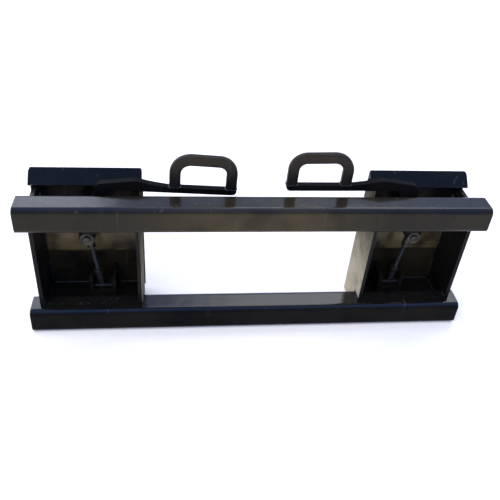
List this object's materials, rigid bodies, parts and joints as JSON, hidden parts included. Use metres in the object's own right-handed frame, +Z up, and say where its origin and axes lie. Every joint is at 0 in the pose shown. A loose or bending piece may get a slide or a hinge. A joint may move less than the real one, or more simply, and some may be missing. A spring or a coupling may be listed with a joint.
{
  "type": "quick coupler",
  "caption": "Loader quick coupler: two square cross tubes join two boxed attachment plates, each with a looped hand lever, sprung link and locking wedge.",
  "frame": {"origin": "middle of the base, level with the underside of the lower tube, halfway through the depth and on the plane of symmetry", "axes": "+X along the tubes, to the right as seen from the loader; +Y towards the attachment; +Z up"},
  "size_m": [1.147, 0.165, 0.4955],
  "materials": {
    "frame_paint": "gloss black enamel over welded steel, dusty, with an orange-peel surface",
    "lever_paint": "semi-gloss black enamel, worn brown on the hand loop",
    "bare_steel": "oiled dark steel with scuffs",
    "zinc_plate": "dull zinc plate, stained",
    "bronze": "machined bearing bronze"
  },
  "bodies": {
    "frame": {"upper_cross_tube": "frame_paint", "upper_left_end_cap": "frame_paint", "upper_right_end_cap": "frame_paint", "lower_cross_tube": "frame_paint", "lower_left_end_cap": "frame_paint", "lower_right_end_cap": "frame_paint", "left_face_plate": "frame_paint", "left_outer_side_plate": "frame_paint", "left_inner_side_plate": "frame_paint", "left_bottom_plate": "frame_paint", "left_pivot_plate": "frame_paint", "left_pivot_pin": "bare_steel", "left_pivot_spacer": "frame_paint", "left_wedge_guide": "frame_paint", "left_lever_rest": "frame_paint", "right_face_plate": "frame_paint", "right_outer_side_plate": "frame_paint", "right_inner_side_plate": "frame_paint", "right_bottom_plate": "frame_paint", "right_pivot_plate": "frame_paint", "right_pivot_pin": "bare_steel", "right_pivot_spacer": "frame_paint", "right_wedge_guide": "frame_paint", "right_lever_rest": "frame_paint"},
    "left_lever": {"left_lever_arm": "lever_paint", "left_handle_loop": "lever_paint", "left_pivot_bushing": "bronze", "left_grease_fitting": "zinc_plate", "left_crank_pin": "bare_steel", "left_crank_washer": "zinc_plate", "left_crank_nut": "zinc_plate"},
    "left_link": {"left_rod_end": "zinc_plate", "left_link_rod": "zinc_plate", "left_jam_nut": "zinc_plate", "left_seat_nut": "zinc_plate", "left_spring_seat": "zinc_plate", "left_lock_spring": "bare_steel", "left_thrust_washer": "zinc_plate", "left_rod_nut": "zinc_plate", "left_lock_nut": "zinc_plate"},
    "left_wedge": {"left_lock_wedge": "bare_steel"},
    "right_lever": {"right_lever_arm": "lever_paint", "right_handle_loop": "lever_paint", "right_pivot_bushing": "bronze", "right_grease_fitting": "zinc_plate", "right_crank_pin": "bare_steel", "right_crank_washer": "zinc_plate", "right_crank_nut": "zinc_plate"},
    "right_link": {"right_rod_end": "zinc_plate", "right_link_rod": "zinc_plate", "right_jam_nut": "zinc_plate", "right_seat_nut": "zinc_plate", "right_spring_seat": "zinc_plate", "right_lock_spring": "bare_steel", "right_thrust_washer": "zinc_plate", "right_rod_nut": "zinc_plate", "right_lock_nut": "zinc_plate"},
    "right_wedge": {"right_lock_wedge": "bare_steel"}
  },
  "joints": [
    {"name": "left_lever_turn", "type": "hinge", "parent": "frame", "child": "left_lever", "pos_m": [-0.41832, 0.0075, 0.29124], "axis": [0, -1, 0], "range_deg": [0, 85]},
    {"name": "left_link_turn", "type": "hinge", "parent": "left_lever", "child": "left_link", "pos_m": [-0.427, 0.0255, 0.242], "axis": [0, -1, 0], "range_deg": [-104.2, 0], "deforming": ["left_lock_spring"]},
    {"name": "left_wedge_slide", "type": "slide", "parent": "frame", "child": "left_wedge", "axis": [0, 0, 1], "range_m": [0, 0.0379]},
    {"name": "right_lever_turn", "type": "hinge", "parent": "frame", "child": "right_lever", "pos_m": [0.41832, 0.0075, 0.29124], "axis": [0, 1, 0], "range_deg": [0, 85]},
    {"name": "right_link_turn", "type": "hinge", "parent": "right_lever", "child": "right_link", "pos_m": [0.427, 0.0255, 0.242], "axis": [0, 1, 0], "range_deg": [-104.2, 0], "deforming": ["right_lock_spring"]},
    {"name": "right_wedge_slide", "type": "slide", "parent": "frame", "child": "right_wedge", "axis": [0, 0, 1], "range_m": [0, 0.0379]}
  ],
  "couplings": [
    {"joint": "left_link_turn", "follows": "left_lever_turn", "ratio": -1.2248},
    {"joint": "left_wedge_slide", "follows": "left_lever_turn", "m_per_rad": 0.025487},
    {"joint": "right_link_turn", "follows": "right_lever_turn", "ratio": -1.2248},
    {"joint": "right_wedge_slide", "follows": "right_lever_turn", "m_per_rad": 0.025487}
  ]
}
